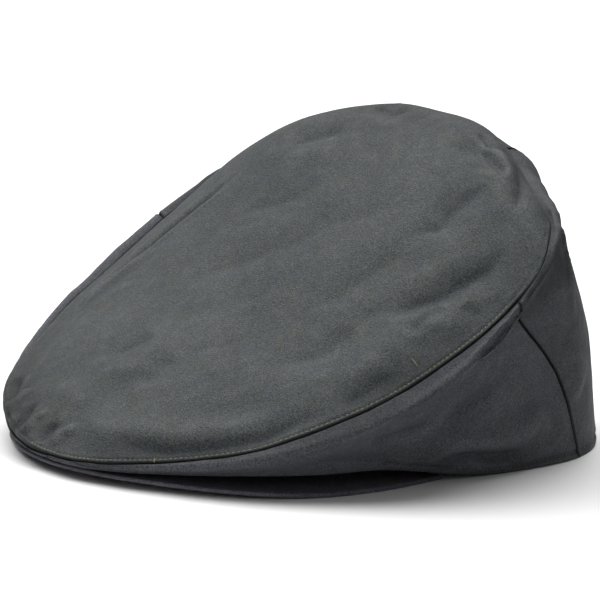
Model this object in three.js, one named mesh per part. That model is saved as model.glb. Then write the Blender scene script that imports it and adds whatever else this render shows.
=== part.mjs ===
// Flat cap of waxed cotton, lying on a level surface with its peak to the front.
// Millimetres, +Z up. The front is -Y, the wearer's left is +X, and the surface it rests on is z = 0.
// Six sewn pieces: the crown's top, a side and a back panel on each side, and the peak.
import * as THREE from 'three';

// Cloth, seams and finish
const CLOTH_THICKNESS = 1.2;
const SEAM_GAP = 0.36;
const PEAK_THICKNESS = 1.7;
const WAXED_TOP = { color: 0x4a5153, roughness: 0.55, metalness: 0 };
const WAXED_SIDE = { color: 0x2b2e32, roughness: 0.55, metalness: 0 };
const WAXED_PEAK = { color: 0x17181b, roughness: 0.6, metalness: 0 };

// The tables below have their own origin at the middle of the head opening.
// This offset puts the origin under the middle of the cap's box.
const ORIGIN_SHIFT = { x: 0.35, y: 30, z: 0 };

// The crown's top is divided in rings around this point, and each cross-section of it has this fullness:
// 2 is a parabola from rim to rim, and more is flatter in the middle.
const CROWN_CENTRE = { x: 0, y: -30 };
const CROWN_FULLNESS = 2.8;

// How finely the sheets are divided
const STEPS_AROUND_SIDE = 16;
const STEPS_AROUND_BACK = 14;
const STEPS_ACROSS_TOP = 12;
const RING_CROWDING = 0.3;
const STEPS_DOWN_WALL = 7;
const STEPS_UNDER = 2;
const STEPS_ALONG_PEAK = 32;
const STEPS_ACROSS_PEAK = 3;

// The seam between a side panel and a back panel, as headings at the rim and at the hem. It swings back
// between these two shares of the way down.
const BACK_SEAM = { atRim: 98, atHem: 112 };
const SEAM_SWING = { from: 0.25, to: 0.95 };

// Steps for measuring a surface's slope: along a heading in degrees, and across the sheet
const HEADING_NUDGE = 0.5;
const EDGE_STEP = 0.01;

// How many halvings find a place on the rim, and how many thicknesses from a corner the cloth's cuts lean
const HALVINGS = 24;
const CORNER_REACH = 2.5;

// Left half of the cap, one row for every 15 degrees of heading from the front round to the back.
// A heading is the way that the wall faces, and the right half mirrors it.
const HEADING_STEP = 15;
const HALF_TURN = 180;

// The puffed right shoulder goes out by this much of what it goes up
const PUFF_OUT = 0.9;

// The left shelf drops by this much of what it stands out, and the turn below it follows by these shares
const SHELF_DROP = 0.45;
const SHELF_TURN = { out: 0.3, down: 0.35 };

// The rim seam
const RIM = rows(['x', 'y', 'z'], [
  [0, -156.2, 7.1],
  [18, -154.5, 7.8],
  [40, -145.5, 10.4],
  [70, -124.5, 17],
  [88, -100, 27],
  [101, -72, 41],
  [106.5, -36, 61.5],
  [104, -11, 79],
  [96.5, 2.5, 91],
  [79, 17.8, 95.7],
  [48, 37.5, 98.8],
  [20, 52, 102],
  [0, 60, 108],
]);

// The top's middle line, from the rim in front to the rim at the back
const MIDLINE = rows(['y', 'z'], [
  [-156.2, 7.1],
  [-141, 19],
  [-122, 31.5],
  [-103, 43],
  [-83, 54.5],
  [-64, 67.5],
  [-45, 82],
  [-26, 97.5],
  [-6, 112.5],
  [13, 123.5],
  [27, 128],
  [35, 126.3],
  [43, 122.3],
  [52, 116.8],
  [57, 112],
  [60, 108],
]);

// The wall below the rim. Its shoulder and turn are set off from the rim, and its belly from the
// straight line between foot and rim. The right shoulder puffs up by a further amount of its own, and the
// left one stands out as a shelf that folds back under itself.
const WALL = rows([
  'shoulderOut', 'shoulderRise', 'turnOut', 'turnDrop', 'bellyAt', 'bellyOut', 'puffRight', 'shelfLeft',
], [
  [0.4, -0.6, 0.4, 1.2, 0.25, 0.1, 0, 0],
  [0.4, -0.7, 0.4, 1.4, 0.25, 0.1, 0, 0],
  [0.6, -1, 0.4, 2.5, 0.25, 0.3, 0.6, 0.3],
  [1.2, -2, 0.8, 4.5, 0.25, 0.8, 1.5, 1.4],
  [1.5, -3, 0, 8, 0.25, 1, 2.6, 3.4],
  [1.4, -3.5, -2.6, 10, 0.3, 1, 3.4, 5],
  [0.8, -4, -6, 11.5, 0.4, 0, 5.6, 5.4],
  [2.2, -3, -2, 12, 0.45, -2, 4, 0],
  [3, 0, 4.5, 8, 0.5, 3, 0.8, 0],
  [4, 0.5, 6.8, 9, 0.55, 6.6, 0.6, 0],
  [7.5, 0.5, 11.5, 8, 0.55, 9, 0.8, 0],
  [11, 0.9, 16.5, 5.5, 0.5, 11, 1, 0],
  [13.5, 0.5, 21, 4.5, 0.5, 10.5, 0, 0],
]);

// The lowest line of the wall, then the edge of the cloth turned in under it.
// In front the turned cloth runs back over the peak, and behind it is the hem that the cap rests on.
const FOOT = rows(['x', 'y', 'z', 'endX', 'endY', 'endZ'], [
  [0, -155.2, 4.5, 0, -147, 4.8],
  [17.5, -152.8, 4.6, 16, -142, 5],
  [38, -142.4, 5.4, 33, -125, 6],
  [66.5, -118.5, 7.5, 44, -76, 6.5],
  [80.5, -93, 8, 60, -60, 6],
  [85, -62, 7.5, 73, -40, 5.5],
  [84.4, -12, 0, 81.3, -11.6, 0],
  [82, 29, 0, 79, 27.8, 0],
  [71, 56, 0, 68.4, 54, 0],
  [53.5, 75.8, 0, 51.6, 73.2, 0],
  [36, 87.3, 0, 34.8, 84.5, 0],
  [18, 94.3, 0, 17.4, 91.3, 0],
  [0, 96.5, 0, 0, 93.4, 0],
]);

// Underside of the peak: its outer edge from the front to the corner under the hem, and its inner edge
const PEAK_EDGE = rows(['x', 'y', 'z'], [
  [0, -154, 2.4],
  [24.5, -150, 2.4],
  [44.5, -141, 2.3],
  [59.5, -130.5, 1.8],
  [71.5, -118.2, 1.2],
  [79.5, -105, 0.6],
  [84.2, -89.2, 0.1],
  [85.8, -70, 0],
  [84.2, -50.5, 0],
  [80.8, -31, 0],
]);
const PEAK_INNER = { halfWidth: 82.5, halfLength: 88.5, centreY: 7.5, lastAngle: 62, arch: 3.4 };

// Dents and swellings of the soft crown: centre, reach along each axis, and how far the cloth moves up
const SLUMPS = rows(['x', 'y', 'z', 'reachX', 'reachY', 'reachZ', 'lift'], [
  [-54, 6, 110, 36, 40, 40, 3.8],
  [-18, 70, 112, 13, 22, 20, 12],
  [4, 49, 119, 20, 14, 12, -6],
]);

function rows(names, values) {
  return values.map((row) => Object.fromEntries(names.map((name, i) => [name, row[i]])));
}

function catmullRom(a, b, c, d, t) {
  const t2 = t * t;
  const t3 = t2 * t;
  return 0.5 * (2 * b + (c - a) * t + (2 * a - 5 * b + 4 * c - d) * t2 + (3 * b - a - 3 * c + d) * t3);
}

// A row of a half-outline table at any place along it, smooth through the centre plane at both ends,
// or only at its start. The signed columns change sign across that plane.
function rowAt(table, place, signed, mirroredEnd = true) {
  const last = table.length - 1;
  const i = Math.min(Math.floor(place), last - 1);
  const pick = (k, name) => {
    const beyond = mirroredEnd ? 2 * last - k : last;
    const inside = k < 0 ? -k : k > last ? beyond : k;
    const flipped = (k < 0 || (k > last && mirroredEnd)) && signed.includes(name);
    return flipped ? -table[inside][name] : table[inside][name];
  };
  const blend = (name) => {
    const [a, b, c, d] = [i - 1, i, i + 1, i + 2].map((k) => pick(k, name));
    return catmullRom(a, b, c, d, place - i);
  };
  return Object.fromEntries(Object.keys(table[0]).map((name) => [name, blend(name)]));
}

// Control points of the wall at one heading, mirrored where the heading is on the right half
function station(heading) {
  const wrapped = THREE.MathUtils.euclideanModulo(heading + HALF_TURN, 2 * HALF_TURN) - HALF_TURN;
  const side = wrapped < 0 ? -1 : 1;
  const place = Math.abs(wrapped) / HEADING_STEP;
  const rim = rowAt(RIM, place, ['x']);
  const wall = rowAt(WALL, place, []);
  const foot = rowAt(FOOT, place, ['x', 'endX']);
  const angle = THREE.MathUtils.degToRad(Math.abs(wrapped));
  const out = new THREE.Vector3(Math.sin(angle), -Math.cos(angle), 0);
  const from = (base, outward, up) => {
    const point = new THREE.Vector3(base.x, base.y, base.z + up);
    return point.addScaledVector(out, outward);
  };
  const belly = new THREE.Vector3().lerpVectors(foot, rim, wall.bellyAt);
  const puff = side < 0 ? wall.puffRight : 0;
  const shelf = side > 0 ? wall.shelfLeft : 0;
  const turnOut = wall.turnOut + PUFF_OUT * puff + SHELF_TURN.out * shelf;
  const points = [
    from(rim, 0, 0),
    from(rim, wall.shoulderOut + PUFF_OUT * puff + shelf, wall.shoulderRise + puff - SHELF_DROP * shelf),
    from(rim, turnOut, -wall.turnDrop - SHELF_TURN.down * shelf),
    from(belly, wall.bellyOut, 0),
    from(foot, 0, 0),
    new THREE.Vector3(foot.endX, foot.endY, foot.endZ),
  ];
  for (const point of points) {
    point.x *= side;
  }
  return { outline: points.slice(0, 5), end: points[5] };
}

// Where a soft dent or swelling reaches, the cloth moves up or down
function slumped(point) {
  let lift = 0;
  for (const s of SLUMPS) {
    const dx = (point.x - s.x) / s.reachX;
    const dy = (point.y - s.y) / s.reachY;
    const dz = (point.z - s.z) / s.reachZ;
    lift += s.lift * Math.exp(-(dx * dx + dy * dy + dz * dz));
  }
  return point.clone().setZ(point.z + lift);
}

// Outer face of the wall: v runs from 0 at the rim to 1 at the foot, and on to 2 at the turned edge
function wallPoint(heading, v) {
  const { outline, end } = station(heading);
  if (v > 1) {
    return slumped(outline[4].clone().lerp(end, v - 1));
  }
  return slumped(new THREE.CatmullRomCurve3(outline, false, 'centripetal').getPoint(Math.max(v, 0)));
}

// The rim's half-width and height where it crosses a given y, found by halving
function rimAcross(y) {
  let near = 0;
  let far = RIM.length - 1;
  for (let i = 0; i < HALVINGS; i += 1) {
    const middle = (near + far) / 2;
    if (rowAt(RIM, middle, ['x']).y < y) {
      near = middle;
    } else {
      far = middle;
    }
  }
  return rowAt(RIM, (near + far) / 2, ['x']);
}

function midlineHeight(y) {
  const after = MIDLINE.findIndex((row) => row.y > y);
  const i = (after < 0 ? MIDLINE.length : Math.max(after, 1)) - 1;
  const rowNear = (k) => MIDLINE[THREE.MathUtils.clamp(k, 0, MIDLINE.length - 1)];
  const [a, b, c, d] = [i - 1, i, i + 1, i + 2].map(rowNear);
  return b === c ? b.z : catmullRom(a.z, b.z, c.z, d.z, (y - b.y) / (c.y - b.y));
}

// Outer face of the top: s runs from 0 at the crown's centre to 1 at the rim
function topPoint(heading, s) {
  const rim = station(heading).outline[0];
  const x = CROWN_CENTRE.x + (rim.x - CROWN_CENTRE.x) * s;
  const y = CROWN_CENTRE.y + (rim.y - CROWN_CENTRE.y) * s;
  if (s === 1) {
    return slumped(rim);
  }
  const edge = rimAcross(y);
  const across = Math.min(Math.abs(x) / edge.x, 1);
  const z = edge.z + (midlineHeight(y) - edge.z) * (1 - across ** CROWN_FULLNESS);
  return slumped(new THREE.Vector3(x, y, z));
}

// Unit normal, facing out, of a surface whose first parameter is a heading in degrees
function normalOf(surface, heading, across, step) {
  const along = surface(heading + HEADING_NUDGE, across).sub(surface(heading - HEADING_NUDGE, across));
  const down = surface(heading, across + step).sub(surface(heading, across - step));
  return down.cross(along).normalize();
}

// The two sheets that meet at the rim share one normal there, so that their cut edges are parallel
function rimNormal(heading) {
  const wall = normalOf(wallPoint, heading, EDGE_STEP, EDGE_STEP);
  const top = normalOf(topPoint, heading, 1 - EDGE_STEP, EDGE_STEP);
  return wall.add(top).normalize();
}

// At the foot the cloth turns under, and its normal there lies halfway between the two faces
function footNormal(heading) {
  const above = normalOf(wallPoint, heading, 1 - EDGE_STEP, EDGE_STEP);
  const under = normalOf(wallPoint, heading, 1 + EDGE_STEP, EDGE_STEP);
  return above.add(under).normalize();
}

function wallNormal(heading, v) {
  if (v === 0) return rimNormal(heading);
  if (v === 1) return footNormal(heading);
  return normalOf(wallPoint, heading, Math.min(v, 2 - EDGE_STEP), EDGE_STEP);
}

// Close to a corner the cloth's cuts lean towards the corner's own, so that its inner face
// doesn't cross itself
function easeNormals(points, normals, corner) {
  const reach = CORNER_REACH * CLOTH_THICKNESS;
  return normals.map((row, i) => row.map((normal, j) => {
    const share = Math.min(points[i][j].distanceTo(points[corner][j]) / reach, 1);
    return normals[corner][j].clone().lerp(normal, share).normalize();
  }));
}

function topNormal(heading, s) {
  return s === 1 ? rimNormal(heading) : normalOf(topPoint, heading, s, EDGE_STEP);
}

function steps(from, to, count) {
  return Array.from({ length: count + 1 }, (_, i) => from + ((to - from) * i) / count);
}

// Moves one edge of a sheet into the sheet by half a seam gap, square to the cut through the cloth
function insetEdge(edge, inner, normals) {
  const moved = edge.map((point, i) => {
    const before = edge[Math.max(i - 1, 0)];
    const after = edge[Math.min(i + 1, edge.length - 1)];
    const inward = after.clone().sub(before).cross(normals[i]).normalize();
    const sign = Math.sign(inward.dot(inner[i].clone().sub(point)));
    return inward.multiplyScalar((sign * SEAM_GAP) / 2);
  });
  edge.forEach((point, i) => point.add(moved[i]));
}

// A closed body from vertices and faces given as lists of vertex numbers
function solid(name, vertices, faces, finish) {
  const geometry = new THREE.BufferGeometry();
  const positions = vertices.flatMap((v) => [v.x, v.y, v.z]);
  geometry.setAttribute('position', new THREE.Float32BufferAttribute(positions, 3));
  geometry.setIndex(faces.flatMap(([a, b, c, d]) => (d === undefined ? [a, b, c] : [a, b, c, a, c, d])));
  geometry.computeVertexNormals();
  const mesh = new THREE.Mesh(geometry, new THREE.MeshStandardMaterial(finish));
  mesh.name = name;
  return mesh;
}

// A thick sheet from a grid of outer points, rows first, and the grid of inner points behind them
function sheet(name, outer, inner, finish) {
  const down = outer.length;
  const along = outer[0].length;
  const vertices = [...outer.flat(), ...inner.flat()];
  const front = (i, j) => i * along + j;
  const back = (i, j) => down * along + front(i, j);
  const faces = [];
  for (let i = 0; i + 1 < down; i += 1) {
    for (let j = 0; j + 1 < along; j += 1) {
      faces.push([front(i, j), front(i + 1, j), front(i + 1, j + 1), front(i, j + 1)]);
      faces.push([back(i, j), back(i, j + 1), back(i + 1, j + 1), back(i + 1, j)]);
    }
    const j = along - 1;
    faces.push([front(i, 0), back(i, 0), back(i + 1, 0), front(i + 1, 0)]);
    faces.push([front(i, j), front(i + 1, j), back(i + 1, j), back(i, j)]);
  }
  for (let j = 0; j + 1 < along; j += 1) {
    const i = down - 1;
    faces.push([front(0, j), front(0, j + 1), back(0, j + 1), back(0, j)]);
    faces.push([front(i, j), back(i, j), back(i, j + 1), front(i, j + 1)]);
  }
  return solid(name, vertices, faces, finish);
}

function offsetInward(points, normals, thickness) {
  return points.map((point, i) => point.clone().addScaledVector(normals[i], -thickness));
}

// A wall panel between two headings, each given at the rim and at the hem
function wallPanel(name, from, to, count) {
  const levels = [...steps(0, 1, STEPS_DOWN_WALL), ...steps(1, 2, STEPS_UNDER).slice(1)];
  const grid = levels.map((v) => {
    const share = THREE.MathUtils.smoothstep(v, SEAM_SWING.from, SEAM_SWING.to);
    const start = from.atRim + (from.atHem - from.atRim) * share;
    const stop = to.atRim + (to.atHem - to.atRim) * share;
    return steps(start, stop, count).map((heading) => ({ heading, v }));
  });
  const outer = grid.map((row) => row.map(({ heading, v }) => wallPoint(heading, v)));
  const square = grid.map((row) => row.map(({ heading, v }) => wallNormal(heading, v)));
  const normals = easeNormals(outer, easeNormals(outer, square, 0), STEPS_DOWN_WALL);
  const column = (table, j) => table.map((row) => row[j]);
  insetEdge(outer[0], outer[1], normals[0]);
  insetEdge(column(outer, 0), column(outer, 1), column(normals, 0));
  insetEdge(column(outer, count), column(outer, count - 1), column(normals, count));
  for (const point of outer.flat()) {
    point.z = Math.max(point.z, 0);
  }
  const inner = outer.map((row, i) => offsetInward(row, normals[i], CLOTH_THICKNESS));
  return sheet(name, outer, inner, WAXED_SIDE);
}

// The crown's top: rings of points around its centre, with the same headings as the wall's rim
function crownTop() {
  const half = [
    ...steps(0, BACK_SEAM.atRim, STEPS_AROUND_SIDE),
    ...steps(BACK_SEAM.atRim, HALF_TURN, STEPS_AROUND_BACK).slice(1),
  ];
  const headings = [...half, ...half.slice(1, -1).reverse().map((heading) => -heading)];
  const around = headings.length;
  const rings = steps(0, 1, STEPS_ACROSS_TOP).slice(1).map((t) => t * (1 + RING_CROWDING * (1 - t)));
  const outerRings = rings.map((s) => headings.map((heading) => topPoint(heading, s)));
  const normals = rings.map((s) => headings.map((heading) => topNormal(heading, s)));
  const rim = outerRings.length - 1;
  const closed = (ring) => [...ring, ring[0].clone()];
  const rimLine = closed(outerRings[rim]);
  insetEdge(rimLine, closed(outerRings[rim - 1]), closed(normals[rim]));
  outerRings[rim] = rimLine.slice(0, around);
  const innerRings = outerRings.map((ring, i) => offsetInward(ring, normals[i], CLOTH_THICKNESS));
  const centre = topPoint(0, 0);
  const centreNormal = normals[0].reduce((sum, normal) => sum.add(normal), new THREE.Vector3()).normalize();
  const vertices = [
    centre,
    centre.clone().addScaledVector(centreNormal, -CLOTH_THICKNESS),
    ...outerRings.flat(),
    ...innerRings.flat(),
  ];
  const outerAt = (i, j) => 2 + i * around + (j % around);
  const innerAt = (i, j) => outerAt(i + outerRings.length, j);
  const faces = [];
  for (let j = 0; j < around; j += 1) {
    faces.push([0, outerAt(0, j), outerAt(0, j + 1)]);
    faces.push([1, innerAt(0, j + 1), innerAt(0, j)]);
    faces.push([outerAt(rim, j), innerAt(rim, j), innerAt(rim, j + 1), outerAt(rim, j + 1)]);
    for (let i = 0; i < rim; i += 1) {
      faces.push([outerAt(i, j), outerAt(i + 1, j), outerAt(i + 1, j + 1), outerAt(i, j + 1)]);
      faces.push([innerAt(i, j), innerAt(i, j + 1), innerAt(i + 1, j + 1), innerAt(i + 1, j)]);
    }
  }
  return solid('crown_top', vertices, faces, WAXED_TOP);
}

// Underside of the peak: along runs from -1 at its right corner to 1 at its left, across from in to out
function peakPoint(along, across) {
  const place = Math.abs(along) * (PEAK_EDGE.length - 1);
  const edge = rowAt(PEAK_EDGE, place, ['x'], false);
  const angle = THREE.MathUtils.degToRad(along * PEAK_INNER.lastAngle);
  const outer = new THREE.Vector3(Math.sign(along) * edge.x, edge.y, Math.max(edge.z, 0));
  const inner = new THREE.Vector3(
    PEAK_INNER.halfWidth * Math.sin(angle),
    PEAK_INNER.centreY - PEAK_INNER.halfLength * Math.cos(angle),
    PEAK_INNER.arch * (1 - along * along),
  );
  return inner.lerp(outer, across);
}

function peak() {
  const stops = steps(-1, 1, STEPS_ALONG_PEAK);
  const lines = steps(1, 0, STEPS_ACROSS_PEAK);
  const under = lines.map((across) => stops.map((along) => peakPoint(along, across)));
  const over = under.map((line) => line.map((point) => point.clone().setZ(point.z + PEAK_THICKNESS)));
  return sheet('peak', under, over, WAXED_PEAK);
}

const left = {
  front: { atRim: 0, atHem: 0 },
  seam: BACK_SEAM,
  back: { atRim: HALF_TURN, atHem: HALF_TURN },
};
const right = Object.fromEntries(
  Object.entries(left).map(([key, { atRim, atHem }]) => [key, { atRim: -atRim, atHem: -atHem }]),
);

const cap = new THREE.Group();
cap.add(
  crownTop(),
  wallPanel('side_left', left.front, left.seam, STEPS_AROUND_SIDE),
  wallPanel('side_right', right.seam, right.front, STEPS_AROUND_SIDE),
  wallPanel('back_left', left.seam, left.back, STEPS_AROUND_BACK),
  wallPanel('back_right', right.back, right.seam, STEPS_AROUND_BACK),
  peak(),
);
cap.position.set(ORIGIN_SHIFT.x, ORIGIN_SHIFT.y, ORIGIN_SHIFT.z);

export default cap;
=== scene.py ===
import math

import bpy
import numpy as np
from mathutils import Matrix, Vector
from mathutils.bvhtree import BVHTree


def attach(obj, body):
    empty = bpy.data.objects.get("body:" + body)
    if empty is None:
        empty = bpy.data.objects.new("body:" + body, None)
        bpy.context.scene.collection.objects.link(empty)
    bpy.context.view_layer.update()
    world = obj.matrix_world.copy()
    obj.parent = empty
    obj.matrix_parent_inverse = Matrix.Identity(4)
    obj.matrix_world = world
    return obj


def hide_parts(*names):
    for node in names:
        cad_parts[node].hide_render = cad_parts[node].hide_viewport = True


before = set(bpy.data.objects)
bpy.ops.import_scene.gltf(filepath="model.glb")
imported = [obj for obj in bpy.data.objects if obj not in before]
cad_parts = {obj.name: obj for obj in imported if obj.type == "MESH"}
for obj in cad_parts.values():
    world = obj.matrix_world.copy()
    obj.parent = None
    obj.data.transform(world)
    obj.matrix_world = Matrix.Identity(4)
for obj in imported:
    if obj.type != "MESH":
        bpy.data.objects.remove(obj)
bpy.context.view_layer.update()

# Lengths are in millimetres with the origin at the middle of the head opening, as in the part's own
# tables. They become metres, shifted by this much, where a mesh is made.
ORIGIN_SHIFT = np.array([0.35, 30.0, 0.0])
MM = 0.001

CLOTH_THICKNESS = 1.2
PEAK_THICKNESS = 1.7
SEAM_INSET = 0.14

# The photograph's camera: its axes, place and focal length in pixels
IMAGE_SIZE = 600
CAMERA_RIGHT = np.array([0.6428, 0.7648, 0.0441])
CAMERA_UP = np.array([-0.1593, 0.0771, 0.9842])
CAMERA_BACK = np.array([0.7493, -0.6397, 0.1714])
CAMERA_PLACE = np.array([1183.4, -1047.0, 326.8])
FOCAL_PIXELS = 2.517 * 1613
SENSOR = 36.0
CLIP_END = 20
CAP_MIDDLE = np.array([0.0, -20.0, 70.0])

# The cap's tables, left half, one row for every 15 degrees of heading
HEADING_STEP = 15
PUFF_OUT = 0.9
SHELF_DROP = 0.45
SHELF_TURN_OUT = 0.3
SHELF_TURN_DOWN = 0.35
CROWN_CENTRE = np.array([0.0, -30.0])
CROWN_FULLNESS = 2.8
RIM_SAMPLES = 4801
RIM_SAMPLES_ROUND = 7201
RIM_STRIDE = 6
SEAM_AT_RIM = 98
SEAM_AT_HEM = 112
SEAM_SWING_FROM = 0.25
SEAM_SWING_TO = 0.95


def catmull_rom(a, b, c, d, t):
    return 0.5 * (2 * b + (c - a) * t + (2 * a - 5 * b + 4 * c - d) * t**2 + (3 * b - a - 3 * c + d) * t**3)


class Table:
    """Rows of named columns, read smoothly at any place along them."""

    def __init__(self, columns, rows, signed=(), mirrored_end=True):
        self.columns = columns.split()
        body = np.array(rows, float)
        flip = np.array([-1.0 if name in signed else 1.0 for name in self.columns])
        beyond = body[-2] * flip if mirrored_end else body[-1]
        self.rows = np.vstack([body[1] * flip, body, beyond])
        self.last = len(body) - 1

    def at(self, place, names):
        place = np.asarray(place, float)
        i = np.clip(np.floor(place).astype(int), 0, self.last - 1)
        t = (place - i)[..., None]
        picked = self.rows[:, [self.columns.index(name) for name in names.split()]]
        return catmull_rom(picked[i], picked[i + 1], picked[i + 2], picked[i + 3], t)


RIM = Table("x y z", [
    [0, -156.2, 7.1],
    [18, -154.5, 7.8],
    [40, -145.5, 10.4],
    [70, -124.5, 17],
    [88, -100, 27],
    [101, -72, 41],
    [106.5, -36, 61.5],
    [104, -11, 79],
    [96.5, 2.5, 91],
    [79, 17.8, 95.7],
    [48, 37.5, 98.8],
    [20, 52, 102],
    [0, 60, 108],
], signed=("x",))

MIDLINE = np.array([
    [-156.2, 7.1],
    [-141, 19],
    [-122, 31.5],
    [-103, 43],
    [-83, 54.5],
    [-64, 67.5],
    [-45, 82],
    [-26, 97.5],
    [-6, 112.5],
    [13, 123.5],
    [27, 128],
    [35, 126.3],
    [43, 122.3],
    [52, 116.8],
    [57, 112],
    [60, 108],
])

WALL = Table("shoulder_out shoulder_rise turn_out turn_drop belly_at belly_out puff_right shelf_left", [
    [0.4, -0.6, 0.4, 1.2, 0.25, 0.1, 0, 0],
    [0.4, -0.7, 0.4, 1.4, 0.25, 0.1, 0, 0],
    [0.6, -1, 0.4, 2.5, 0.25, 0.3, 0.6, 0.3],
    [1.2, -2, 0.8, 4.5, 0.25, 0.8, 1.5, 1.4],
    [1.5, -3, 0, 8, 0.25, 1, 2.6, 3.4],
    [1.4, -3.5, -2.6, 10, 0.3, 1, 3.4, 5],
    [0.8, -4, -6, 11.5, 0.4, 0, 5.6, 5.4],
    [2.2, -3, -2, 12, 0.45, -2, 4, 0],
    [3, 0, 4.5, 8, 0.5, 3, 0.8, 0],
    [4, 0.5, 6.8, 9, 0.55, 6.6, 0.6, 0],
    [7.5, 0.5, 11.5, 8, 0.55, 9, 0.8, 0],
    [11, 0.9, 16.5, 5.5, 0.5, 11, 1, 0],
    [13.5, 0.5, 21, 4.5, 0.5, 10.5, 0, 0],
])

FOOT = Table("x y z end_x end_y end_z", [
    [0, -155.2, 4.5, 0, -147, 4.8],
    [17.5, -152.8, 4.6, 16, -142, 5],
    [38, -142.4, 5.4, 33, -125, 6],
    [66.5, -118.5, 7.5, 44, -76, 6.5],
    [80.5, -93, 8, 60, -60, 6],
    [85, -62, 7.5, 73, -40, 5.5],
    [84.4, -12, 0, 81.3, -11.6, 0],
    [82, 29, 0, 79, 27.8, 0],
    [71, 56, 0, 68.4, 54, 0],
    [53.5, 75.8, 0, 51.6, 73.2, 0],
    [36, 87.3, 0, 34.8, 84.5, 0],
    [18, 94.3, 0, 17.4, 91.3, 0],
    [0, 96.5, 0, 0, 93.4, 0],
], signed=("x", "end_x"))

PEAK_EDGE = Table("x y z", [
    [0, -154, 2.4],
    [24.5, -150, 2.4],
    [44.5, -141, 2.3],
    [59.5, -130.5, 1.8],
    [71.5, -118.2, 1.2],
    [79.5, -105, 0.6],
    [84.2, -89.2, 0.1],
    [85.8, -70, 0],
    [84.2, -50.5, 0],
    [80.8, -31, 0],
], signed=("x",), mirrored_end=False)
PEAK_TIP_SHARE = 0.45
PEAK_INNER = {"half_width": 82.5, "half_length": 88.5, "centre_y": 7.5, "last_angle": 62, "arch": 3.4}

# Dents and swellings of the soft crown: centre, reach along each axis, and how far the cloth moves up
SLUMPS = [
    (-54, 6, 110, 36, 40, 40, 3.8),
    (-18, 70, 112, 13, 22, 20, 12),
    (4, 49, 119, 20, 14, 12, -6),
]


def unit(v):
    return v / np.maximum(np.linalg.norm(v, axis=-1, keepdims=True), 1e-9)


def smooth(t):
    t = np.clip(t, 0, 1)
    return t * t * (3 - 2 * t)


def bell(value, middle, width):
    return np.exp(-(((value - middle) / width) ** 2))


def wrap(heading):
    """The same heading between -180 and 180."""
    return (np.asarray(heading, float) + 180) % 360 - 180


def read_along(wanted, along, line):
    return np.stack([np.interp(wanted, along, line[:, k]) for k in range(3)], axis=1)


def swelling(points, place):
    """1 at the middle of a soft round area, given by its centre and its reach along each axis."""
    q = (points - np.array(place[:3])) / np.array(place[3:])
    return np.exp(-np.sum(q * q, axis=-1))


def slumped(points):
    lift = sum(rise * swelling(points, place) for *place, rise in SLUMPS)
    moved = points.copy()
    moved[..., 2] += lift
    return moved


def station(heading):
    """Control points of the wall at each heading: rim, shoulder, turn, belly, foot and turned edge."""
    wrapped = wrap(heading)
    side = np.where(wrapped < 0, -1.0, 1.0)
    place = np.abs(wrapped) / HEADING_STEP
    rim = RIM.at(place, "x y z")
    foot = FOOT.at(place, "x y z")
    end = FOOT.at(place, "end_x end_y end_z")
    column = lambda name: WALL.at(place, name)
    puff = np.where(side < 0, column("puff_right")[..., 0], 0)[..., None]
    shelf = np.where(side > 0, column("shelf_left")[..., 0], 0)[..., None]
    angle = np.radians(np.abs(wrapped))
    out = np.stack([np.sin(angle), -np.cos(angle), 0 * angle], axis=-1)
    up = np.array([0.0, 0.0, 1.0])
    shoulder = rim + out * (column("shoulder_out") + PUFF_OUT * puff + shelf)
    shoulder = shoulder + up * (column("shoulder_rise") + puff - SHELF_DROP * shelf)
    turn = rim + out * (column("turn_out") + PUFF_OUT * puff + SHELF_TURN_OUT * shelf)
    turn = turn - up * (column("turn_drop") + SHELF_TURN_DOWN * shelf)
    belly = foot + (rim - foot) * column("belly_at") + out * column("belly_out")
    points = np.stack([rim, shoulder, turn, belly, foot, end], axis=-2)
    points[..., 0] *= side[..., None]
    return points


def centripetal(points, v):
    """Point at v, from 0 to 1, on the smooth curve through each row of control points."""
    count = points.shape[-2]
    place = (count - 1) * np.clip(v, 0, 1)
    i = np.minimum(np.floor(place).astype(int), count - 2)
    w = (place - i)[..., None]
    before = 2 * points[..., :1, :] - points[..., 1:2, :]
    after = 2 * points[..., -1:, :] - points[..., -2:-1, :]
    row = np.concatenate([before, points, after], axis=-2)
    take = lambda k: np.take_along_axis(row, (i + k)[..., None, None], axis=-2)[..., 0, :]
    a, b, c, d = take(0), take(1), take(2), take(3)
    gap = lambda p, q: np.sum((q - p) ** 2, axis=-1, keepdims=True) ** 0.25
    g0, g1, g2 = gap(a, b), gap(b, c), gap(c, d)
    g1 = np.where(g1 < 1e-4, 1, g1)
    g0 = np.where(g0 < 1e-4, g1, g0)
    g2 = np.where(g2 < 1e-4, g1, g2)
    t1 = ((b - a) / g0 - (c - a) / (g0 + g1) + (c - b) / g1) * g1
    t2 = ((c - b) / g1 - (d - b) / (g1 + g2) + (d - c) / g2) * g1
    return b + t1 * w + (3 * (c - b) - 2 * t1 - t2) * w**2 + (2 * (b - c) + t1 + t2) * w**3


def wall_point(heading, v):
    """Outer face of the wall: v from 0 at the rim to 1 at the foot, and on to 2 at the turned edge."""
    heading, v = np.broadcast_arrays(np.asarray(heading, float), np.asarray(v, float))
    points = station(heading)
    curve = centripetal(points[..., :5, :], v)
    foot, end = points[..., 4, :], points[..., 5, :]
    under = foot + (end - foot) * np.clip(v - 1, 0, 1)[..., None]
    return slumped(np.where(v[..., None] > 1, under, curve))


RIM_LINE = RIM.at(np.linspace(0, RIM.last, RIM_SAMPLES), "x y z")


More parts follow.
